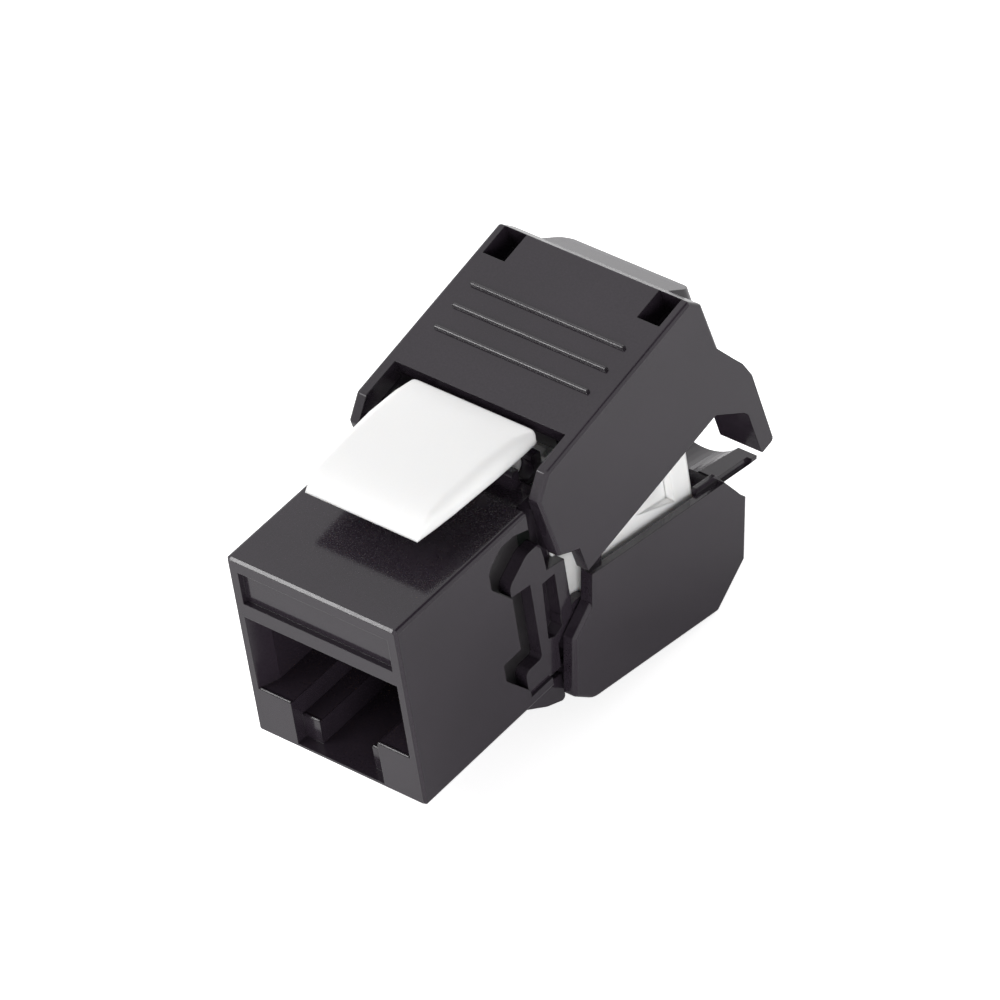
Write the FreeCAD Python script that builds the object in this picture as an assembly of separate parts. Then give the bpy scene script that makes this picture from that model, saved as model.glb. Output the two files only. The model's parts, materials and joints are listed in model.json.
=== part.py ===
"""Tool-less keystone jack for a four-pair network cable, in millimetres.

Frame: the origin is the middle of the nose's front face, where the plug goes in.
+Y runs from that face to the cable end, +Z is up (the snap latch is on top), +X is right.
The two rear covers are drawn shut, either side of the mid plane z = 0, and are then
swung open about their own pins to the half-open place they have at rest.
"""
import FreeCAD, Part
import math
import os

V = FreeCAD.Vector
ALONG_X, ALONG_Y, ALONG_Z = V(1, 0, 0), V(0, 1, 0), V(0, 0, 1)
FAR = 60.0                      # longer than any part: reach of a cutter

# ---- nose (front housing) ----
NOSE_WIDTH = 14.8
NOSE_HEIGHT = 15.8
NOSE_LENGTH = 13.8
NOSE_WALL = 1.2
LONG_EDGE_RADIUS = 0.35
FACE_EDGE_RADIUS = 0.2
HALF_W = NOSE_WIDTH / 2
HALF_H = NOSE_HEIGHT / 2
INNER_HALF_W = HALF_W - NOSE_WALL
LUG_HALF_W, LUG_REAR = 6.8, 15.3    # hook under the nose that holds the wall plate
# ---- plug port ----
PORT_HALF_W = 6.0
PORT_MOUTH_HALF_W = 6.65
PORT_MOUTH_DEPTH = 1.6
PORT_TOP = 2.75
PORT_SHOULDER = -3.8
PORT_DEPTH = 10.5
TAB_HALF_W = 3.8
TAB_LEDGE = -5.5
TAB_LEDGE_SETBACK = 0.9
TAB_SLOT_HALF_W = 2.3
TAB_FLOOR = -7.5
LIP = 1.2                       # front lip above the port, before the contacts
# ---- label pocket ----
LABEL_HALF_W = 6.5
LABEL_LOW, LABEL_HIGH = 4.0, 6.8
LABEL_DEPTH = 0.4
# ---- insert with the eight spring contacts ----
CONTACTS = 8
CONTACT_PITCH = 1.016
CONTACT_SIZE = 0.36
CONTACT_LEVEL = 3.27
CONTACT_FRONT = 1.55
CONTACT_TURN = 2.5
CONTACT_TIP = (8.6, 0.95)
CONTACT_BEND = 0.28
TONGUE_HALF_W = 5.4
TONGUE_FRONT = 1.8
TONGUE_TOP = CONTACT_LEVEL + CONTACT_SIZE / 2
CARRIER_LOW, CARRIER_HIGH = -6.2, 6.4
# ---- circuit board ----
BOARD_THICKNESS = 1.2
BOARD_FRONT = NOSE_LENGTH
BOARD_REAR = BOARD_FRONT + BOARD_THICKNESS
BOARD_HALF_H = 6.4
# ---- rear frame ----
FRAME_OUTER = 7.2               # outer face of the side tongues
FRAME_HALF_H = 7.5
FRAME_REAR = 16.6
ARM_INNER, ARM_OUTER = 6.45, 7.15
EAR_R = 1.6
WINDOW_HALF_W, WINDOW_HALF_H = 5.4, 3.4
GROOVE_HALF_W = 5.0
# ---- snap latch ----
LATCH_AXIS = (16.9, 8.1)        # (y, z) of its root
LATCH_BEAD_R = 0.72
LATCH_GROOVE_R = 0.77
LATCH_NECK_HALF_W = 4.0
LATCH_UNDER = 10.17             # level of its lower edge
# its sections, front to rear: (y, top, half width below, half width at the top, shoulder radius)
LATCH_SECTIONS = ((5.9, 10.3, 4.86, 4.86, 0.08), (6.5, 10.98, 4.93, 4.95, 0.25),
                  (7.6, 11.47, 5.07, 5.14, 0.55), (9.5, 11.68, 5.24, 5.43, 0.85),
                  (13.5, 11.78, 5.46, 5.76, 1.0), (16.2, 11.52, 5.52, 5.82, 0.9),
                  (18.1, 10.95, 5.5, 5.72, 0.5))
LATCH_REAR_CORNER_R = 1.0
# ---- wiring block and its terminals ----
BLOCK_HALF_W = 6.4
BLOCK_REAR = 30.2
BLOCK_HALF_H = 6.9
BLOCK_CORE_HALF_H = 3.4
CHANNEL_HALF_W = 1.7
SLOT_WIDTH = 1.1
TERMINAL_X = 4.0
TERMINAL_ROWS = (21.0, 26.0)    # y of the wire slots
TERMINAL_TAILS = (2.1, 1.0)     # lower edge of each row's tail
TAIL_HEIGHT = 0.5
TERMINAL_THICKNESS = 0.4
TERMINAL_WIDTH = 2.6
TERMINAL_TOP = 6.2
TERMINAL_SLIT = 0.4
# ---- covers ----
COVER_HALF_W = 8.3
COVER_WALL = 1.0
COVER_INNER = COVER_HALF_W - COVER_WALL
PIN_Y, PIN_Z = 17.5, 4.5        # the covers' pins: upper at +z, lower at -z
PIN_R = 1.0
PIN_HOLE_R = 1.04
UPPER_OPEN = 11.1               # degrees from shut, at rest
LOWER_OPEN = 10.3
COVER_TOP = 10.75
COVER_SKIN = 1.2
COVER_REAR = 36.05
PLATE_FRONT = 19.95
CABLE_Z = -0.8                  # height of the cable's axis with the covers shut
SADDLE_R = 4.3
TROUGH_ROOT_R, TROUGH_END_R = 3.95, 4.45
SNOUT_RIM_START, SNOUT_END = 36.1, 40.15
SNOUT_R = 5.8
SNOUT_RIM_HALF_W, SNOUT_HALF_W, SNOUT_LIP_HALF_W = 4.25, 4.5, 4.65
SNOUT_LIP = 0.6
SNOUT_RIM, SNOUT_STEP, SNOUT_WEB = -4.0, -4.5, -5.3     # levels of rim, side step and root web
LOWER_REAR = 34.4
FORK_HALF_W = 4.65
FORK_FRONT = 30.0
FORK_DRAFT = 0.06
LIP_WIDTH, LIP_TOP, REBATE = 0.35, -0.15, -0.57     # raised lip inside the lower cover's edge
RIB_ROWS = (23.6, 25.7, 27.75)
RIB_HALF_LENGTH, RIB_WIDTH, RIB_HEIGHT = 6.65, 0.35, 0.2
HATCH = (5.75, 7.66, 30.37, 33.0)   # x and y spans of the two rear windows in the top


# ---------------------------------------------------------------- helpers
def box(x0, x1, y0, y1, z0, z1):
    return Part.makeBox(x1 - x0, y1 - y0, z1 - z0, V(x0, y0, z0))


def middle_box(half_w, y0, y1, z0, z1):
    """A box that is symmetrical about the jack's middle plane."""
    return box(-half_w, half_w, y0, y1, z0, z1)


def rod_x(y, z, radius, x0, x1):
    return Part.makeCylinder(radius, x1 - x0, V(x0, y, z), ALONG_X)


def rod_y(x, z, radius, y0, y1):
    return Part.makeCylinder(radius, y1 - y0, V(x, y0, z), ALONG_Y)


def rounded_wire(corners, place):
    """Closed outline through corners (a, b) or (a, b, radius), set in space by place(a, b)."""
    edges, ends = [], []
    count = len(corners)
    for i, corner in enumerate(corners):
        here = V(corner[0], corner[1], 0)
        radius = corner[2] if len(corner) > 2 else 0.0
        before = V(*corners[i - 1][:2], 0)
        after = V(*corners[(i + 1) % count][:2], 0)
        to_before = (before - here).normalize()
        to_after = (after - here).normalize()
        half_angle = to_before.getAngle(to_after) / 2
        if radius <= 0 or half_angle > math.radians(89.5):
            ends.append((here, here, None))
            continue
        cut_back = radius / math.tan(half_angle)
        bisector = (to_before + to_after).normalize()
        centre = here + bisector * (radius / math.sin(half_angle))
        middle = centre - bisector * radius
        ends.append((here + to_before * cut_back, here + to_after * cut_back, middle))
    for i, (start, end, middle) in enumerate(ends):
        if middle is not None:
            arc = [place(p.x, p.y) for p in (start, middle, end)]
            edges.append(Part.Arc(*arc).toShape())
        following = ends[(i + 1) % count][0]
        if (following - end).Length > 1e-6:
            edges.append(Part.LineSegment(place(end.x, end.y),
                                          place(following.x, following.y)).toShape())
    return Part.Wire(edges)


def side_plate(corners, x0, x1):
    """An outline drawn from the side, in (y, z), made solid from x0 to x1."""
    wire = rounded_wire(corners, lambda y, z: V(x0, y, z))
    return Part.Face(wire).extrude(V(x1 - x0, 0, 0))


def plan_plate(corners, z0, z1):
    """An outline drawn from above, in (x, y), made solid from z0 to z1."""
    wire = rounded_wire(corners, lambda x, y: V(x, y, z0))
    return Part.Face(wire).extrude(V(0, 0, z1 - z0))


def bent_strip(path, radii, width, x, thickness):
    """A strip of even width that follows a path in (y, z), as thick as given along X."""
    half = width / 2
    points = [V(y, z, 0) for y, z in path]
    left, right = [], []
    for i, point in enumerate(points):
        ahead = (points[i + 1] - point).normalize() if i + 1 < len(points) else None
        behind = (point - points[i - 1]).normalize() if i else None
        if ahead is None or behind is None:
            along = ahead or behind
            across = V(-along.y, along.x, 0) * half
            left.append((point + across, 0.0))
            right.append((point - across, 0.0))
            continue
        normal_in, normal_out = V(-behind.y, behind.x, 0), V(-ahead.y, ahead.x, 0)
        mitre = (normal_in + normal_out).normalize()
        across = mitre * (half / mitre.dot(normal_in))
        turn = 1 if behind.cross(ahead).z > 0 else -1
        left.append((point + across, radii[i] - turn * half))
        right.append((point - across, radii[i] + turn * half))
    ring = left + right[::-1]
    corners = [(p.x, p.y, max(r, 0.0)) for p, r in ring]
    return side_plate(corners, x - thickness / 2, x + thickness / 2)


def mirror_x(shape):
    return shape.mirror(V(0, 0, 0), ALONG_X)


def mirror_z(shape):
    return shape.mirror(V(0, 0, 0), ALONG_Z)


def both_sides(shape):
    return [shape, mirror_x(shape)]


def swing(shape, y, z, degrees):
    """Turn a shape about a line along X, positive lifting its rear end."""
    turned = shape.copy()
    turned.rotate(V(0, y, z), ALONG_X, degrees)
    return turned


def edges_along(shape, direction, test=lambda middle: True):
    found = []
    for edge in shape.Edges:
        start, end = edge.Vertexes[0].Point, edge.Vertexes[-1].Point
        run = end - start
        if run.Length > 1e-6 and abs(run.normalize().dot(direction)) > 0.999:
            if test(edge.CenterOfMass):
                found.append(edge)
    return found


def one_solid(shape):
    clean = shape.removeSplitter()
    if len(clean.Solids) != 1:
        raise ValueError("expected one solid, got %d" % len(clean.Solids))
    return clean.Solids[0]


def save(name, shape):
    solid = one_solid(shape)
    if not solid.isValid():
        raise ValueError(name + " is not valid")
    solid.exportStep("parts/%s.step" % name)
    print("%-20s %8.2f mm3  %4d faces" % (name, solid.Volume, len(solid.Faces)))


def contact_x(index):
    return (index - (CONTACTS - 1) / 2) * CONTACT_PITCH


# ---------------------------------------------------------------- front housing
def tongue_cutout():
    """Opening in each side wall of the nose that takes the rear frame's tongue."""
    return [(NOSE_LENGTH + 1, 6.0), (12.3, 6.95, 0.6), (10.9, 6.95, 0.8), (9.45, 5.9, 0.9),
            (9.45, 4.3, 0.5), (11.25, 2.1, 0.1), (11.25, -2.44), (9.4, -2.44, 0.15),
            (9.4, -3.9, 0.5), (11.5, -6.4, 0.5), (11.5, -7.0), (NOSE_LENGTH + 1, -7.0)]


def front_housing():
    body = middle_box(HALF_W, 0, NOSE_LENGTH, -HALF_H, HALF_H)
    body = body.makeFillet(LONG_EDGE_RADIUS, edges_along(body, ALONG_Y))
    body = body.makeChamfer(FACE_EDGE_RADIUS, [e for e in body.Edges if e.BoundBox.YMax < 1e-6])
    lug = side_plate([(10.6, -HALF_H + 0.5), (10.6, -HALF_H), (13.4, -9.7, 2.0), (LUG_REAR, -10.5, 0.3),
                      (LUG_REAR, -HALF_H - 0.2, 0.2), (NOSE_LENGTH, -HALF_H),
                      (NOSE_LENGTH, -HALF_H + 0.5)], -LUG_HALF_W, LUG_HALF_W)
    body = body.fuse(lug)
    mouth = plan_plate([(-PORT_MOUTH_HALF_W, 0), (PORT_MOUTH_HALF_W, 0),
                        (PORT_HALF_W, PORT_MOUTH_DEPTH), (-PORT_HALF_W, PORT_MOUTH_DEPTH)],
                       PORT_SHOULDER, PORT_TOP)
    cuts = [
        mouth,
        middle_box(PORT_HALF_W, 0, PORT_DEPTH, PORT_SHOULDER, PORT_TOP),
        middle_box(TAB_HALF_W, 0, TAB_LEDGE_SETBACK, TAB_FLOOR, PORT_SHOULDER),
        middle_box(TAB_HALF_W, 0, PORT_DEPTH, TAB_LEDGE, PORT_SHOULDER),
        middle_box(TAB_SLOT_HALF_W, 0, PORT_DEPTH - 1.5, TAB_FLOOR, TAB_LEDGE),
        middle_box(TONGUE_HALF_W, LIP, PORT_DEPTH, PORT_TOP, TONGUE_TOP + 0.1),
        middle_box(INNER_HALF_W, PORT_DEPTH, NOSE_LENGTH, CARRIER_LOW, CARRIER_HIGH),
        middle_box(LABEL_HALF_W, 0, LABEL_DEPTH, LABEL_LOW, LABEL_HIGH),
    ]
    cuts += both_sides(side_plate(tongue_cutout(), INNER_HALF_W, HALF_W + 1))
    return body.cut(cuts)


# ---------------------------------------------------------------- contacts
def spring_contact(index):
    path = [(BOARD_REAR, CONTACT_LEVEL), (CONTACT_FRONT, CONTACT_LEVEL),
            (CONTACT_FRONT, CONTACT_TURN), CONTACT_TIP]
    radii = [0, CONTACT_BEND, CONTACT_BEND, 0]
    return bent_strip(path, radii, CONTACT_SIZE, contact_x(index), CONTACT_SIZE)


def contact_carrier():
    block = middle_box(INNER_HALF_W, PORT_DEPTH, NOSE_LENGTH, CARRIER_LOW, CARRIER_HIGH)
    tongue = middle_box(TONGUE_HALF_W, TONGUE_FRONT, PORT_DEPTH, PORT_TOP, TONGUE_TOP)
    body = block.fuse(tongue)
    half = CONTACT_SIZE / 2
    grooves = [box(contact_x(i) - half, contact_x(i) + half, 0, FAR,
                   CONTACT_LEVEL - half, CONTACT_LEVEL + half) for i in range(CONTACTS)]
    return body.cut(grooves)


def circuit_board():
    """Board with its pin holes drawn as the solder leaves them, closed round each pin."""
    board = middle_box(INNER_HALF_W, BOARD_FRONT, BOARD_REAR, -BOARD_HALF_H, BOARD_HALF_H)
    pin = CONTACT_SIZE / 2
    holes = [box(contact_x(i) - pin, contact_x(i) + pin, 0, FAR,
                 CONTACT_LEVEL - pin, CONTACT_LEVEL + pin) for i in range(CONTACTS)]
    blade = TERMINAL_THICKNESS / 2
    for side in (-1, 1):
        for tail in TERMINAL_TAILS:
            x = side * TERMINAL_X
            hole = box(x - blade, x + blade, 0, FAR, tail, tail + TAIL_HEIGHT)
            holes += [hole, mirror_z(hole)]
    return board.cut(holes)


# ---------------------------------------------------------------- rear frame
def frame_tongue():
    """Side tongue that snaps into the nose's cut-out, with its window."""
    plate = side_plate([(14.8, 4.33, 0.3), (13.4, 4.33, 1.2), (11.3, 2.95, 0.9), (11.35, 2.05),
                        (13.3, 1.7), (13.3, -4.9, 0.3), (11.5, -4.9, 0.5), (11.5, -7.0),
                        (14.96, -7.0), (15.06, -5.0), (16.88, -3.6), (16.88, 1.3),
                        (15.08, 1.68), (15.0, 2.9)], INNER_HALF_W, FRAME_OUTER)
    window = side_plate([(14.45, 0.9), (15.77, 0.8), (15.73, -3.9, 0.2), (14.9, -4.18, 0.2),
                         (14.2, -3.9, 0.2), (14.3, -2.0)], 0, FAR)
    return plate.cut(window.common(box(INNER_HALF_W, FAR, 0, FAR, -FAR, FAR)))


def frame_arm():
    """Upper right ear with the hole for a cover's pin."""
    low, high, rear = PIN_Z - EAR_R, PIN_Z + EAR_R, PIN_Y + EAR_R
    ear = side_plate([(15.7, low), (rear, low, EAR_R - 0.01), (rear, high, EAR_R - 0.01),
                      (15.7, high, 0.4)], ARM_INNER, ARM_OUTER)
    root = box(INNER_HALF_W - 0.5, ARM_OUTER, 15.7, FRAME_REAR, low, high)
    return ear.fuse(root).cut(rod_x(PIN_Y, PIN_Z, PIN_HOLE_R, 0, FAR))


def rear_frame():
    ring = middle_box(INNER_HALF_W, BOARD_REAR, FRAME_REAR, -FRAME_HALF_H, FRAME_HALF_H)
    for low, high in ((BOARD_HALF_H, FRAME_HALF_H), (-FRAME_HALF_H, -BOARD_HALF_H)):
        ring = ring.fuse(middle_box(INNER_HALF_W, NOSE_LENGTH, BOARD_REAR, low, high))
    ring = ring.cut(middle_box(WINDOW_HALF_W, 0, FAR, -WINDOW_HALF_H, WINDOW_HALF_H))
    groove = side_plate([(15.4, BLOCK_HALF_H), (18.5, BLOCK_HALF_H), (18.5, 8.9, 0.3),
                         (15.4, 8.9, 0.3)], -GROOVE_HALF_W, GROOVE_HALF_W)
    y, z = LATCH_AXIS
    groove = groove.cut(middle_box(FAR, y - 0.75, y + 0.65, z, FAR))
    pieces = both_sides(frame_tongue()) + [groove]
    for arm in both_sides(frame_arm()):
        pieces += [arm, mirror_z(arm)]
    block_room = middle_box(BLOCK_HALF_W + 0.05, FRAME_REAR, FAR, -5, 5)
    return ring.fuse(pieces).cut([rod_x(y, z, LATCH_GROOVE_R, -FAR, FAR), block_room])


# ---------------------------------------------------------------- snap latch
def latch_section(y, top, below, above, radius):
    """Cross-section of the latch: flat below, rounded at both shoulders."""
    corners = [(-below, LATCH_UNDER), (below, LATCH_UNDER), (above, top, radius),
               (-above, top, radius)]
    return rounded_wire(corners, lambda x, z: V(x, y, z))


def snap_latch():
    front, rear = LATCH_SECTIONS[0][0], LATCH_SECTIONS[-1][0]
    widest = LATCH_SECTIONS[-1][3]
    shell = Part.makeLoft([latch_section(*section) for section in LATCH_SECTIONS], True, True)
    plan = plan_plate([(-widest - 1, front), (widest + 1, front),
                       (widest, rear, LATCH_REAR_CORNER_R),
                       (-widest, rear, LATCH_REAR_CORNER_R)], 9, 13)
    shell = shell.common(plan)
    heel = side_plate([(16.2, LATCH_UNDER + 0.1), (17.0, 9.45), (17.9, LATCH_UNDER - 0.1),
                       (17.9, LATCH_UNDER + 0.1)], 1.0 - widest, widest - 1.0)
    hollow = side_plate([(7.8, 0), (7.8, 10.55, 0.4), (9.2, 10.8, 0.5), (16.0, 10.8, 0.4),
                         (16.0, 0)], -4.2, 4.2)
    shell = shell.fuse(heel).cut(hollow)
    y, z = LATCH_AXIS
    neck = middle_box(LATCH_NECK_HALF_W, y - 0.5, y + 0.5, z, LATCH_UNDER + 0.2)
    bead = rod_x(y, z, LATCH_BEAD_R, -LATCH_NECK_HALF_W, LATCH_NECK_HALF_W)
    return shell.fuse([neck, bead])


# ---------------------------------------------------------------- wiring block
def terminal_profile(row):
    """A forked blade and its tail, in (y, z), for one row of the upper half."""
    y, tail = TERMINAL_ROWS[row], TERMINAL_TAILS[row]
    half, slit = TERMINAL_WIDTH / 2, TERMINAL_SLIT / 2
    mouth, root = TERMINAL_TOP - 0.7, 3.6
    return [(BOARD_FRONT, tail), (y + half, tail), (y + half, TERMINAL_TOP),
            (y + 0.7, TERMINAL_TOP), (y + slit, mouth), (y + slit, root), (y - slit, root),
            (y - slit, mouth), (y - 0.7, TERMINAL_TOP), (y - half, TERMINAL_TOP),
            (y - half, tail + TAIL_HEIGHT), (BOARD_FRONT, tail + TAIL_HEIGHT)]


def idc_terminal(side, half, row):
    x = side * TERMINAL_X
    blade = side_plate(terminal_profile(row), x - TERMINAL_THICKNESS / 2,
                       x + TERMINAL_THICKNESS / 2)
    return blade if half > 0 else mirror_z(blade)


def terminal_pocket(side, half, row):
    """Pocket for a terminal: its outline without the slit, open at the top."""
    y, tail = TERMINAL_ROWS[row], TERMINAL_TAILS[row]
    x = side * TERMINAL_X
    low, high = x - TERMINAL_THICKNESS / 2, x + TERMINAL_THICKNESS / 2
    reach = TERMINAL_WIDTH / 2
    blade = box(low, high, y - reach, y + reach, tail, BLOCK_HALF_H + 1)
    run = box(low, high, BOARD_FRONT, y, tail, tail + TAIL_HEIGHT)
    pocket = blade.fuse(run)
    return pocket if half > 0 else mirror_z(pocket)


def wiring_block():
    body = middle_box(BLOCK_HALF_W, FRAME_REAR, BLOCK_REAR, -BLOCK_HALF_H, BLOCK_HALF_H)
    body = body.makeChamfer(0.5, edges_along(body, ALONG_Y))
    body = body.fuse(middle_box(WINDOW_HALF_W, BOARD_REAR, FRAME_REAR,
                                -WINDOW_HALF_H, WINDOW_HALF_H))
    cuts = []
    for half in (-1, 1):
        channel = middle_box(CHANNEL_HALF_W, 19.0, FAR, BLOCK_CORE_HALF_H, FAR)
        slots = [middle_box(FAR, y - SLOT_WIDTH / 2, y + SLOT_WIDTH / 2, 3.9, FAR)
                 for y in TERMINAL_ROWS]
        slots.append(middle_box(FAR, 23.1, 23.9, 5.2, FAR))
        step = middle_box(FAR, FRAME_REAR, 19.0, 6.0, FAR)
        for cut in [channel, step] + slots:
            cuts.append(cut if half > 0 else mirror_z(cut))
    for side in (-1, 1):
        for half in (-1, 1):
            cuts += [terminal_pocket(side, half, row) for row in (0, 1)]
    recess = side_plate([(25.6, -2.6, 0.3), (28.9, -2.6, 0.3), (28.9, 2.6, 0.3), (25.6, 2.6, 0.3)],
                        BLOCK_HALF_W - 0.7, BLOCK_HALF_W + 1)
    return body.cut(cuts + both_sides(recess))


# ---------------------------------------------------------------- covers
def wire_pads(level):
    """Four pads inside a cover that press the wires down into their slots."""
    pads = []
    for y in TERMINAL_ROWS:
        for side in (-1, 1):
            x = side * TERMINAL_X
            pads.append(box(x - 1.4, x + 1.4, y - 0.45, y + 0.45, level, COVER_TOP - 0.5))
    return pads


def pins(z):
    return both_sides(rod_x(PIN_Y, z, PIN_R, ARM_INNER + 0.1, COVER_INNER + 0.5))


def upper_cover():
    outline = [(15.15, 3.55, 0.2), (15.15, 9.3, 0.3), (16.7, COVER_TOP, 0.4), (33.0, COVER_TOP, 0.15),
               (34.0, 9.4, 0.3), (34.1, 4.5), (35.0, 2.6), (35.6, 1.4), (COVER_REAR, -0.3),
               (36.0, -7.25, 0.3), (34.6, -7.25, 0.2), (34.6, -3.0, 0.3), (34.3, -2.45, 0.3),
               (31.9, -0.03), (17.0, -0.03), (17.0, 2.15), (16.1, 2.8)]
    shell = side_plate(outline, -COVER_HALF_W, COVER_HALF_W)
    shell = shell.makeFillet(0.3, edges_along(
        shell, ALONG_Y, lambda middle: middle.z > COVER_TOP - 0.01))
    saddle = side_plate([(33.4, COVER_TOP - 0.8), (33.85, 9.6), (35.5, 8.0, 0.3),
                         (COVER_REAR, 7.45, 0.3), (COVER_REAR, 0), (33.4, 0)], -5.5, 5.5)
    saddle_plan = plan_plate([(-5.5, 33), (5.5, 33), (5.5, COVER_REAR, 1.0),
                              (-5.5, COVER_REAR, 1.0)], -1, COVER_TOP)
    shell = shell.fuse(saddle.common(saddle_plan))
    low = -FAR
    hollow = side_plate([(10, low), (10, 9.55), (32.6, 9.55, 0.3), (32.9, 4.3), (34.6, 0.6),
                         (34.6, low)], -COVER_INNER, COVER_INNER)
    saddle_hollow = side_plate([(30, 0), (30, 9.0), (33.3, 9.0, 0.3), (34.8, 7.4, 0.3), (34.8, 0)],
                               -4.3, 4.3)
    x0, x1, y0, y1 = HATCH
    cuts = [hollow, saddle_hollow,
            middle_box(7.4, 10, PLATE_FRONT, 9, FAR),
            rod_y(0, CABLE_Z, SADDLE_R, FORK_FRONT, FAR),
            middle_box(FORK_HALF_W, FORK_FRONT, FAR, -FAR, CABLE_Z)]
    cuts += both_sides(fork_draft())
    ribs = [side_plate([(y - RIB_WIDTH / 2, COVER_TOP - 0.3), (y - RIB_WIDTH / 2 + 0.05,
                        COVER_TOP + RIB_HEIGHT), (y + RIB_WIDTH / 2 - 0.05, COVER_TOP + RIB_HEIGHT),
                        (y + RIB_WIDTH / 2, COVER_TOP - 0.3)], -RIB_HALF_LENGTH, RIB_HALF_LENGTH)
            for y in RIB_ROWS]
    corner_blocks = both_sides(box(x0 - 0.6, COVER_INNER + 0.2, y0 - 0.5, y1 + 0.3, 7.9, 9.8))
    shell = shell.cut(cuts).fuse(ribs + wire_pads(7.25) + pins(PIN_Z) + corner_blocks)
    return shell.cut(both_sides(box(x0, x1, y0, y1, 8.5, FAR)))


def fork_draft():
    """Sliver taken off the outer face of the fork's right arm, which leaves a fine crease."""
    top, bottom = -0.3, -7.5
    corners = [(COVER_HALF_W, top), (COVER_HALF_W + 1, top), (COVER_HALF_W + 1, bottom),
               (COVER_HALF_W - FORK_DRAFT, bottom)]
    wire = rounded_wire(corners, lambda x, z: V(x, FORK_FRONT, z))
    return Part.Face(wire).extrude(V(0, COVER_REAR, 0))


def snout():
    """Trough that carries the cable out: narrow body, wider lip at its end, web at its root."""
    barrel = rod_y(0, CABLE_Z, SNOUT_R, LOWER_REAR - 1, SNOUT_END)
    body = middle_box(SNOUT_HALF_W, SNOUT_RIM_START, SNOUT_END, -FAR, SNOUT_STEP)
    rim = middle_box(SNOUT_RIM_HALF_W, SNOUT_RIM_START, SNOUT_END, SNOUT_STEP, SNOUT_RIM)
    lip = middle_box(SNOUT_LIP_HALF_W, SNOUT_END - SNOUT_LIP, SNOUT_END, -FAR, SNOUT_RIM)
    web = middle_box(SNOUT_HALF_W, LOWER_REAR - 1, SNOUT_RIM_START, -FAR, SNOUT_WEB)
    return barrel.common(body.fuse([rim, lip, web]))


def lower_cover():
    outline = [(17.5, LIP_TOP), (31.7, LIP_TOP, 0.1), (34.2, -2.8, 0.2), (LOWER_REAR, -3.4),
               (34.25, -8.0, 0.2), (31.3, -10.85, 0.3), (17.7, -10.85, 1.8), (15.55, -9.6, 0.6),
               (15.55, -4.9, 0.2), (17.45, -2.95)]
    shell = side_plate(outline, -COVER_HALF_W, COVER_HALF_W)
    shell = shell.makeFillet(0.3, edges_along(
        shell, ALONG_Y, lambda middle: middle.z < -10.8))
    shell = shell.fuse(snout())
    hollow = side_plate([(10, FAR), (10, -9.65), (30.9, -9.65, 0.3), (33.2, -7.5, 0.3), (33.2, FAR)],
                        -COVER_INNER, COVER_INNER)
    lug_room = middle_box(COVER_INNER, 10, 18.6, -FAR, -9)
    rebate = side_plate([(10, FAR), (10, REBATE), (31.9, REBATE), (34.1, -2.9), (FAR, -2.9),
                         (FAR, FAR)], COVER_INNER + LIP_WIDTH, FAR)
    bore = Part.makeCone(TROUGH_ROOT_R, TROUGH_END_R, SNOUT_END - FORK_FRONT + 1,
                         V(0, FORK_FRONT, CABLE_Z), ALONG_Y)
    above_bore = middle_box(TROUGH_ROOT_R, FORK_FRONT, FAR, CABLE_Z, FAR)
    shell = shell.cut([hollow, lug_room, bore, above_bore] + both_sides(rebate))
    pads = [mirror_z(pad) for pad in wire_pads(7.25)]
    return shell.fuse(pads + pins(-PIN_Z))


# ---------------------------------------------------------------- build
def build():
    os.makedirs("parts", exist_ok=True)
    save("front_housing", front_housing())
    save("contact_carrier", contact_carrier())
    for index in range(CONTACTS):
        save("spring_contact_%d" % (index + 1), spring_contact(index))
    save("circuit_board", circuit_board())
    save("rear_frame", rear_frame())
    save("snap_latch", snap_latch())
    save("wiring_block", wiring_block())
    number = 0
    for half in (1, -1):
        for side in (-1, 1):
            for row in (0, 1):
                number += 1
                save("idc_terminal_%d" % number, idc_terminal(side, half, row))
    save("upper_cover", swing(upper_cover(), PIN_Y, PIN_Z, UPPER_OPEN))
    save("lower_cover", swing(lower_cover(), PIN_Y, -PIN_Z, -LOWER_OPEN))


build()
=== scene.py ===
"""Looks of the keystone jack: moulded plastic, plated metal and board finishes on the CAD frame.

Units are metres, in the frame of the CAD model: +Y from the plug face to the cable end,
+Z up, origin in the middle of the nose's front face.
"""

import json
import math

import bmesh
import bpy
from mathutils import Matrix, Vector


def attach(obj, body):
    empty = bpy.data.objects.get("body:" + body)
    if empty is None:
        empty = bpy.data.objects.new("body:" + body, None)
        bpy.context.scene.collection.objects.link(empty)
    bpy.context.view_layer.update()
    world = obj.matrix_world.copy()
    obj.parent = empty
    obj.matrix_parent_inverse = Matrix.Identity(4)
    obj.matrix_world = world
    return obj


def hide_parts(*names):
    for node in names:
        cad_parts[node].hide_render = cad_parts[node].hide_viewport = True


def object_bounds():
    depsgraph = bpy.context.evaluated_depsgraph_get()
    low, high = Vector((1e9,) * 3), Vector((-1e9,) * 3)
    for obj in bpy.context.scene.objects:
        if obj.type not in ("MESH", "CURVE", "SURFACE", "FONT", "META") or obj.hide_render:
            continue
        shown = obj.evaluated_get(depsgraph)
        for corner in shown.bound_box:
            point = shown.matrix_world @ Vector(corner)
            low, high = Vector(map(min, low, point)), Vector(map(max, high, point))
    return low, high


MM = 0.001

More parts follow.
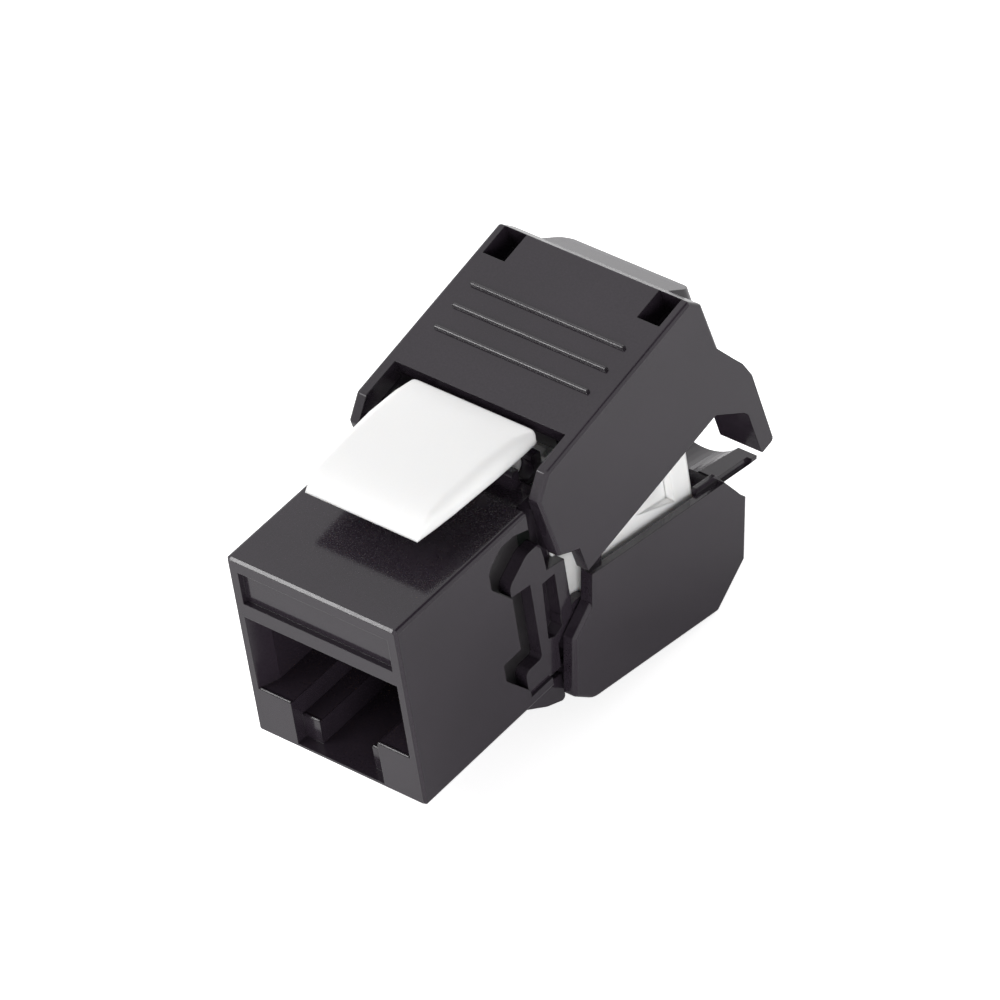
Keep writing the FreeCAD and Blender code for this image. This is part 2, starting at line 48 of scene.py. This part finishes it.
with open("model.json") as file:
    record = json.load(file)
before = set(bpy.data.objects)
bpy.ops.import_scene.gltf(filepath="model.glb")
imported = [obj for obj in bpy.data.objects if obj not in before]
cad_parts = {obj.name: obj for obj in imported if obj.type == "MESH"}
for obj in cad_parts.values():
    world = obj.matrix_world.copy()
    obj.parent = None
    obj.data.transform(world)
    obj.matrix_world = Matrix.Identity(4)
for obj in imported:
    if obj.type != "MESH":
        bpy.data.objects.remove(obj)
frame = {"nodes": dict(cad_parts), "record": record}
cad_low, cad_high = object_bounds()

# ---- camera: product shot from above the front right corner, through a long lens ----
CAMERA_AZIMUTH = 45.11
CAMERA_ELEVATION = 40.795
CAMERA_ROLL = -9.556
CAMERA_DISTANCE = 0.61717
CAMERA_LENS = 327.48
CAMERA_AIM = Vector((-0.781, 19.774, 0.738)) * MM
SENSOR_WIDTH = 36.0

# ---- studio: a white tent with soft lamps: (name, azimuth, elevation, watts) ----
LAMPS = (
    ("left_rear", -135.0, 14.0, 1.35),
    ("left", -90.0, 35.0, 0.68),
    ("front_left", -45.0, 48.0, 0.66),
    ("front_right", 45.0, 10.0, 1.5),
    ("right", 90.0, 12.0, 0.28),
)
LAMP_DISTANCE = 0.45
LAMP_WIDTH = 0.26
GLINT = ("glint", -39.4, 32.3, 0.10)    # small bright lamp whose reflection lies along edges
GLINT_WIDTH = 0.05
CARD = (144.5, 58.8, 0.3, 0.2)   # dark card, mirrored in long edges: azimuth, elevation, away, width
WORLD_STRENGTH = 0.3            # level of the tent's own light; camera and mirrors see it white
FLOOR_SIZE = 3.0
FLOOR_GAP = 0.05 * MM
FLOOR_WHITE = 0.68              # share of plain white that the camera sees in the floor

# ---- small forms added to the CAD ----
RIB_ROWS = (23.6, 25.7, 27.75)  # y of the upper cover's ribs, with the cover shut
UPPER_OPEN, LOWER_OPEN = 11.1, -10.3            # degrees from shut, at rest
UPPER_PIN, LOWER_PIN = (0, 17.5, 4.5), (0, 17.5, -4.5)
FOOT_WEB = (-6.6, 15.3, -10.15), (6.6, 16.0, -7.6)      # low and high corners
RIB_HALF_LENGTH = 6.6
LATCH_SHARP_ANGLE = 38          # degrees between faces from which an edge stays sharp
# front edges inside the port: from x, to x, y, z
LIP_SPANS = ((3.85, 6.5, 0.0, -3.8), (2.35, 3.75, 0.9, -5.5))


# ---------------------------------------------------------------- node helpers
def new_material(name):
    """Empty node material with a Principled shader wired to its output."""
    material = bpy.data.materials.new(name)
    material.use_nodes = True
    nodes = material.node_tree.nodes
    nodes.clear()
    output = nodes.new("ShaderNodeOutputMaterial")
    shader = nodes.new("ShaderNodeBsdfPrincipled")
    material.node_tree.links.new(shader.outputs["BSDF"], output.inputs["Surface"])
    return material, shader


def link(material, source, target):
    material.node_tree.links.new(source, target)


def coordinates(material):
    """Object coordinates: metres in the CAD frame, so a pattern keeps its real scale."""
    return material.node_tree.nodes.new("ShaderNodeTexCoord").outputs["Object"]


def noise(material, scale, detail=3.0, roughness=0.5):
    node = material.node_tree.nodes.new("ShaderNodeTexNoise")
    node.inputs["Scale"].default_value = scale
    node.inputs["Detail"].default_value = detail
    node.inputs["Roughness"].default_value = roughness
    link(material, coordinates(material), node.inputs["Vector"])
    return node.outputs["Fac"]


def spread(material, value, low, high, source_low=0.3, source_high=0.7):
    """Maps a 0 to 1 pattern on to the range low to high."""
    node = material.node_tree.nodes.new("ShaderNodeMapRange")
    node.inputs["From Min"].default_value = source_low
    node.inputs["From Max"].default_value = source_high
    node.inputs["To Min"].default_value = low
    node.inputs["To Max"].default_value = high
    link(material, value, node.inputs["Value"])
    return node.outputs["Result"]


def mix_colour(material, factor, first, second):
    """Blends two colours; either may be another node's output."""
    node = material.node_tree.nodes.new("ShaderNodeMix")
    node.data_type = "RGBA"
    link(material, factor, node.inputs["Factor"])
    for socket, colour in ((node.inputs["A"], first), (node.inputs["B"], second)):
        if isinstance(colour, bpy.types.NodeSocket):
            link(material, colour, socket)
        else:
            socket.default_value = (*colour, 1.0)
    return node.outputs["Result"]


def edge_shade_mask(material, radius):
    """1 close to an edge and 0 on open faces; it sets where the painted edge shade goes."""
    nodes = material.node_tree.nodes
    bevel = nodes.new("ShaderNodeBevel")
    bevel.samples = 4
    bevel.inputs["Radius"].default_value = radius
    across = nodes.new("ShaderNodeVectorMath")
    across.operation = "DOT_PRODUCT"
    link(material, bevel.outputs["Normal"], across.inputs[0])
    link(material, nodes.new("ShaderNodeNewGeometry").outputs["Normal"], across.inputs[1])
    return spread(material, across.outputs["Value"], 1.0, 0.0, 0.86, 0.99)


def worn_edge_normal(material, height, strength, distance, edge_radius):
    """Bump from a pattern on top of edges that look slightly rounded, as moulded ones do."""
    nodes = material.node_tree.nodes
    bump = nodes.new("ShaderNodeBump")
    bump.inputs["Strength"].default_value = strength
    bump.inputs["Distance"].default_value = distance
    link(material, height, bump.inputs["Height"])
    if edge_radius:
        bevel = nodes.new("ShaderNodeBevel")
        bevel.samples = 6
        bevel.inputs["Radius"].default_value = edge_radius
        link(material, bevel.outputs["Normal"], bump.inputs["Normal"])
    return bump.outputs["Normal"]


# ---------------------------------------------------------------- materials
def moulded_plastic(name, dark, light, edge_shade_tone, rough_low, rough_high, grain=0.08,
                    edge=0.06 * MM):
    """Moulded plastic: fine spark-eroded grain, faint flow clouds, softly rounded edges, and a
    painted shade line: near every edge the colour is blended to the edge colour given, darker on the
    black plastics, in place of the dark line that a rounded edge reflects.
    """
    material, shader = new_material(name)
    clouds = spread(material, noise(material, 160.0, 4.0), 0, 0.4)
    fine = noise(material, 6500.0, 3.0, 0.6)
    tone = material.node_tree.nodes.new("ShaderNodeMath")
    link(material, clouds, tone.inputs[0])
    link(material, spread(material, fine, 0, 0.6), tone.inputs[1])
    # painted shade: near edges the base colour turns to the edge colour, standing in for the dark
    # line reflected along rounded edges
    link(material, mix_colour(material, edge_shade_mask(material, 0.1 * MM),
                              mix_colour(material, tone.outputs["Value"], dark, light), edge_shade_tone),
         shader.inputs["Base Color"])
    link(material, spread(material, noise(material, 900.0, 3.0), rough_low, rough_high),
         shader.inputs["Roughness"])
    link(material, worn_edge_normal(material, fine, grain, 0.02 * MM, edge),
         shader.inputs["Normal"])
    return material, shader


def black_plastic():
    # third colour: the painted shade along edges, darker than the plastic
    return moulded_plastic("black_moulded", (0.0172, 0.0132, 0.0182), (0.0268, 0.0206, 0.0282),
                           (0.005, 0.004, 0.005), 0.13, 0.16)[0]


def insert_plastic():
    # third colour: the painted shade along edges, a little darker than the plastic
    return moulded_plastic("insert_moulded", (0.009, 0.008, 0.009), (0.018, 0.0165, 0.018),
                           (0.008, 0.007, 0.008), 0.3, 0.4)[0]


def white_plastic():
    # third colour: the tone painted along edges, here close to the light tone
    material, shader = moulded_plastic("white_moulded", (0.87, 0.87, 0.862),
                                       (0.89, 0.89, 0.882), (0.89, 0.89, 0.885), 0.28, 0.34,
                                       grain=0.03, edge=0.3 * MM)
    shader.inputs["Subsurface Weight"].default_value = 0.15
    shader.inputs["Subsurface Radius"].default_value = (1.0, 0.9, 0.8)
    shader.inputs["Subsurface Scale"].default_value = 0.4 * MM
    return material


def plated_metal(name, dark, light, rough_low, rough_high):
    """Plated wire or sheet, drawn along its length, a little uneven in tone."""
    material, shader = new_material(name)
    shader.inputs["Metallic"].default_value = 1.0
    tone = noise(material, 700.0, 4.0)
    link(material, mix_colour(material, spread(material, tone, 0, 1), dark, light),
         shader.inputs["Base Color"])
    link(material, spread(material, noise(material, 2500.0), rough_low, rough_high),
         shader.inputs["Roughness"])
    link(material, worn_edge_normal(material, tone, 0.1, 0.01 * MM, 0.05 * MM),
         shader.inputs["Normal"])
    return material


def board_mask():
    """Very dark green solder mask with paler tracks under it."""
    material, shader = new_material("solder_mask")
    wave = material.node_tree.nodes.new("ShaderNodeTexWave")
    wave.inputs["Scale"].default_value = 260.0
    wave.inputs["Distortion"].default_value = 2.0
    link(material, coordinates(material), wave.inputs["Vector"])
    tracks = spread(material, wave.outputs["Fac"], 0, 1, 0.55, 0.65)
    link(material, mix_colour(material, tracks, (0.0022, 0.0036, 0.0029), (0.004, 0.007, 0.0054)),
         shader.inputs["Base Color"])
    shader.inputs["Roughness"].default_value = 0.5
    shader.inputs["Specular IOR Level"].default_value = 0.25
    link(material, worn_edge_normal(material, tracks, 0.2, 0.03 * MM, 0.0),
         shader.inputs["Normal"])
    return material


def dress_nodes():
    """Gives every CAD node the finish of its record slot."""
    finishes = {
        "black_plastic": black_plastic(),
        "insert_plastic": insert_plastic(),
        "white_plastic": white_plastic(),
        "contact_metal": plated_metal("gold_plated", (0.75, 0.50, 0.18), (0.95, 0.72, 0.34),
                                      0.18, 0.32),
        "terminal_metal": plated_metal("tin_plated", (0.55, 0.55, 0.53), (0.78, 0.78, 0.76),
                                       0.25, 0.4),
        "board": board_mask(),
    }
    for entry in frame["record"]["subparts"]:
        node = frame["nodes"][entry["node"]]
        node.data.materials.clear()
        node.data.materials.append(finishes[entry["material_slot"]])
    return finishes


# ---------------------------------------------------------------- pieces made here
def mesh_of(name, points, faces):
    mesh = bpy.data.meshes.new(name)
    mesh.from_pydata(points, [], faces)
    return mesh


def tidy_normals(mesh):
    """Turns every face outwards."""
    work = bmesh.new()
    work.from_mesh(mesh)
    bmesh.ops.recalc_face_normals(work, faces=work.faces)
    work.to_mesh(mesh)
    work.free()


def add_piece(name, mesh, body, material=None):
    """Puts a mesh in the scene, on its body; a mesh that has no material yet is given one."""
    if material:
        mesh.materials.append(material)
    piece = bpy.data.objects.new(name, mesh)
    bpy.context.scene.collection.objects.link(piece)
    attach(piece, body)
    return piece


def swung(point, pin, degrees):
    """A point drawn with a cover shut, where it lies with the cover as it is at rest."""
    turn = Matrix.Rotation(math.radians(degrees), 3, "X")
    pin = Vector(pin)
    return pin + turn @ (Vector(point) - pin)


def box_mesh(name, low, high, place=lambda point: point):
    corners = [place(Vector((x, y, z)) * MM) for x in (low[0], high[0])
               for y in (low[1], high[1]) for z in (low[2], high[2])]
    faces = [(0, 1, 3, 2), (4, 6, 7, 5), (0, 4, 5, 1), (2, 3, 7, 6), (0, 2, 6, 4), (1, 5, 7, 3)]
    return mesh_of(name, corners, faces)


def cheek_mesh(name, side):
    """Side plate of the wiring block, (x, y, z), hollowed by a slope that ends at a post."""
    face, back, floor = 7.15, 6.35, 6.42
    front, start, post, rear, low, high = 20.0, 24.5, 28.4, 30.2, -6.3, 6.3
    points = [(face, front, low), (face, front, high), (face, start, low), (face, start, -0.7),
              (face, start, high), (face, post, low), (face, post, -2.4), (face, post, high),
              (face, rear, low), (face, rear, high), (floor, post, -2.4), (floor, post, high),
              (back, front, low), (back, front, high), (back, rear, low), (back, rear, high)]
    faces = [(0, 2, 3, 4, 1), (2, 5, 6, 3), (5, 8, 9, 7, 6), (3, 10, 11, 4), (3, 6, 10),
             (6, 7, 11, 10), (12, 13, 15, 14), (0, 1, 13, 12), (8, 14, 15, 9),
             (0, 12, 14, 8, 5, 2), (1, 4, 11, 7, 9, 15, 13)]
    mesh = mesh_of(name, [Vector((side * x, y, z)) * MM for x, y, z in points], faces)
    tidy_normals(mesh)
    return mesh


def add_block_cheeks(material):
    """Side plates of the wiring block, which fill the covers' width."""
    for side, name in ((1, "block_cheek_right"), (-1, "block_cheek_left")):
        add_piece(name, cheek_mesh(name, side), "jack_body", material)


def add_foot_web(material):
    """Web below the nose that closes the gap in front of the lower cover."""
    mesh = box_mesh("foot_web", *FOOT_WEB)
    tidy_normals(mesh)
    add_piece("foot_web", mesh, "jack_body", material)


def ridge_mesh(name, ridges):
    """Long low ridges along X: each has its two ends in x and its outline in (y, z)."""
    points, faces = [], []
    for x0, x1, outline in ridges:
        first, count = len(points), len(outline)
        points += [Vector((x, *yz)) * MM for x in (x0, x1) for yz in outline]
        faces += [tuple(range(first, first + count)),
                  tuple(range(first + 2 * count - 1, first + count - 1, -1))]
        for i in range(count):
            j = (i + 1) % count
            faces.append((first + i, first + count + i, first + count + j, first + j))
    mesh = mesh_of(name, points, faces)
    tidy_normals(mesh)
    return mesh


def add_rib_crests(material):
    """Crest on each rib of the upper cover, with the slant that catches the light."""
    ridges = []
    for y in RIB_ROWS:
        outline = [(y - 0.13, 10.93), (y - 0.13, 10.955), (y - 0.04, 11.015), (y + 0.13, 10.955),
                   (y + 0.13, 10.93)]
        outline = [tuple(swung((0, *point), UPPER_PIN, UPPER_OPEN))[1:] for point in outline]
        ridges.append((-RIB_HALF_LENGTH, RIB_HALF_LENGTH, outline))
    add_piece("rib_crests", ridge_mesh("rib_crests", ridges), "upper_cover",
              material)


def add_port_lips(material):
    """Slanted front edges of the port's shoulders and of the ledges for the plug's tab."""
    ridges = []
    for side in (1, -1):
        for inner, outer, y, z in LIP_SPANS:
            x0, x1 = sorted((side * inner, side * outer))
            ridges.append((x0, x1, [(y, z - 0.02), (y, z), (y + 0.09, z + 0.09),
                                    (y + 0.3, z + 0.02), (y + 0.3, z - 0.02)]))
    add_piece("port_lips", ridge_mesh("port_lips", ridges), "jack_body", material)


def joined_copy(name, node):
    """A node's mesh with its faces joined at their edges."""
    work = bmesh.new()
    work.from_mesh(node.data)
    bmesh.ops.remove_doubles(work, verts=work.verts, dist=0.0005 * MM)
    work.verts.index_update()
    mesh = mesh_of(name, [vertex.co.copy() for vertex in work.verts],
                   [[vertex.index for vertex in face.verts] for face in work.faces])
    work.free()
    for material in node.data.materials:
        mesh.materials.append(material)
    return mesh


def smooth_latch():
    """Latch whose crowned top is shaded as one surface, with its real edges kept sharp."""
    mesh = joined_copy("snap_latch_smooth", frame["nodes"]["snap_latch"])
    mesh.polygons.foreach_set("use_smooth", [True] * len(mesh.polygons))
    mesh.set_sharp_from_angle(angle=math.radians(LATCH_SHARP_ANGLE))
    latch = add_piece("snap_latch_smooth", mesh, "snap_latch")
    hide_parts("snap_latch")


def thin_lower_cover():
    """Lower cover whose side walls are thin beside the block, behind their lip's front end."""
    mesh = joined_copy("lower_cover_trimmed", frame["nodes"]["lower_cover"])
    cover = add_piece("lower_cover_trimmed", mesh, "lower_cover")
    pin = Vector(LOWER_PIN) * MM
    for side in (1, -1):
        x0, x1 = sorted((side * 7.2, side * 7.7))
        cutter_mesh = box_mesh("cutter", (x0, 19.3, -3.4), (x1, 29.6, 0.5),
                               lambda point: swung(point, pin, LOWER_OPEN))
        tidy_normals(cutter_mesh)
        cutter = bpy.data.objects.new("cutter", cutter_mesh)
        bpy.context.scene.collection.objects.link(cutter)
        cut = cover.modifiers.new("cut", "BOOLEAN")
        cut.operation = "DIFFERENCE"
        cut.solver = "EXACT"
        cut.object = cutter
        bpy.context.view_layer.update()
        shaped = bpy.data.meshes.new_from_object(
            cover.evaluated_get(bpy.context.evaluated_depsgraph_get()))
        cover.modifiers.clear()
        cover.data = shaped
        bpy.data.objects.remove(cutter)
    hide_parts("lower_cover")


# ---------------------------------------------------------------- studio
def direction(azimuth, elevation):
    """Unit vector from the object towards something at this azimuth (0 is -Y, 90 is +X)."""
    a, e = math.radians(azimuth), math.radians(elevation)
    return Vector((math.sin(a) * math.cos(e), -math.cos(a) * math.cos(e), math.sin(e)))


def aimed(towards):
    """Turns something that stands in the direction given, so that it faces the object."""
    return (-towards).to_track_quat("-Z", "Y").to_matrix().to_4x4()


def square_mesh(name, half, level=0.0):
    return mesh_of(name, [(x, y, level) for x, y in ((-half, -half), (half, -half),
                                                     (half, half), (-half, half))], [(0, 1, 2, 3)])


def set_camera():
    camera = bpy.data.objects.new("camera", bpy.data.cameras.new("camera"))
    bpy.context.scene.collection.objects.link(camera)
    towards = direction(CAMERA_AZIMUTH, CAMERA_ELEVATION)
    roll = Matrix.Rotation(math.radians(CAMERA_ROLL), 4, "Z")
    place = Matrix.Translation(CAMERA_AIM + towards * CAMERA_DISTANCE)
    camera.matrix_world = place @ aimed(towards) @ roll
    camera.data.lens = CAMERA_LENS
    camera.data.sensor_width = SENSOR_WIDTH
    camera.data.clip_start = 0.05
    bpy.context.scene.camera = camera


def add_lamp(name, azimuth, elevation, watts, width, mirrored):
    lamp = bpy.data.lights.new(name, "AREA")
    lamp.shape = "SQUARE"
    lamp.size = width
    lamp.energy = watts
    holder = bpy.data.objects.new(name, lamp)
    towards = direction(azimuth, elevation)
    centre = (cad_low + cad_high) / 2
    holder.matrix_world = Matrix.Translation(centre + towards * LAMP_DISTANCE) @ aimed(towards)
    holder.visible_glossy = mirrored
    bpy.context.scene.collection.objects.link(holder)


def add_lamps():
    """Large soft boxes, left out of reflections, where the white tent shows, and one glint."""
    for lamp in LAMPS:
        add_lamp(*lamp, LAMP_WIDTH, False)
    add_lamp(*GLINT, GLINT_WIDTH, True)


def seen_directly(tree, kinds):
    """1 for the kinds of ray named, 0 for all other rays."""
    path = tree.nodes.new("ShaderNodeLightPath")
    value = path.outputs[kinds[0]]
    for kind in kinds[1:]:
        either = tree.nodes.new("ShaderNodeMath")
        either.operation = "MAXIMUM"
        tree.links.new(value, either.inputs[0])
        tree.links.new(path.outputs[kind], either.inputs[1])
        value = either.outputs["Value"]
    return value


def set_world():
    world = bpy.data.worlds.new("studio")
    world.use_nodes = True
    bpy.context.scene.world = world
    tree = world.node_tree
    light = tree.nodes["Background"]
    light.inputs["Color"].default_value = (0.99, 0.98, 1.0, 1.0)
    light.inputs["Strength"].default_value = WORLD_STRENGTH
    white = tree.nodes.new("ShaderNodeBackground")
    white.inputs["Color"].default_value = (1.0, 1.0, 1.0, 1.0)
    white.inputs["Strength"].default_value = 1.0
    mix = tree.nodes.new("ShaderNodeMixShader")
    tree.links.new(seen_directly(tree, ("Is Camera Ray", "Is Glossy Ray", "Is Transmission Ray")),
                   mix.inputs["Fac"])
    tree.links.new(light.outputs["Background"], mix.inputs[1])
    tree.links.new(white.outputs["Background"], mix.inputs[2])
    tree.links.new(mix.outputs["Shader"], tree.nodes["World Output"].inputs["Surface"])


def add_card():
    """Dark card seen only in reflections: it draws the thin dark line along rounded edges."""
    azimuth, elevation, away, width = CARD
    towards = direction(azimuth, elevation)
    mesh = square_mesh("card", width / 2)
    card = bpy.data.objects.new("card", mesh)
    centre = (cad_low + cad_high) / 2
    card.matrix_world = Matrix.Translation(centre + towards * away) @ aimed(towards)
    for kind in ("camera", "diffuse", "transmission", "volume_scatter", "shadow"):
        setattr(card, "visible_" + kind, False)
    bpy.context.scene.collection.objects.link(card)
    material, shader = new_material("black_felt")
    tone = spread(material, noise(material, 400.0), 0, 1)
    link(material, mix_colour(material, tone, (0.01, 0.01, 0.01), (0.02, 0.02, 0.02)),
         shader.inputs["Base Color"])
    shader.inputs["Roughness"].default_value = 1.0
    mesh.materials.append(material)


def add_floor():
    """White table just below the jack, with the jack's soft shadow on it."""
    mesh = square_mesh("floor", FLOOR_SIZE / 2, cad_low.z - FLOOR_GAP)
    floor = bpy.data.objects.new("floor", mesh)
    bpy.context.scene.collection.objects.link(floor)
    material, shader = new_material("white_sweep")
    tone = spread(material, noise(material, 6.0), 0, 1)
    link(material, mix_colour(material, tone, (0.93, 0.93, 0.93), (0.95, 0.95, 0.95)),
         shader.inputs["Base Color"])
    shader.inputs["Roughness"].default_value = 0.9
    shader.inputs["Specular IOR Level"].default_value = 0.0
    tree = material.node_tree
    white = tree.nodes.new("ShaderNodeEmission")
    share = tree.nodes.new("ShaderNodeMath")
    share.operation = "MULTIPLY"
    share.inputs[1].default_value = FLOOR_WHITE
    link(material, seen_directly(tree, ("Is Camera Ray", "Is Transmission Ray")), share.inputs[0])
    link(material, share.outputs["Value"], white.inputs["Strength"])
    both = tree.nodes.new("ShaderNodeAddShader")
    link(material, shader.outputs["BSDF"], both.inputs[0])
    link(material, white.outputs["Emission"], both.inputs[1])
    output = next(node for node in tree.nodes if node.type == "OUTPUT_MATERIAL")
    link(material, both.outputs["Shader"], output.inputs["Surface"])
    mesh.materials.append(material)


finishes = dress_nodes()
add_block_cheeks(finishes["white_plastic"])
add_foot_web(finishes["black_plastic"])
add_rib_crests(finishes["black_plastic"])
add_port_lips(finishes["black_plastic"])
smooth_latch()
thin_lower_cover()
set_camera()
add_lamps()
set_world()
add_card()
add_floor()
bpy.context.scene.view_settings.view_transform = "Standard"
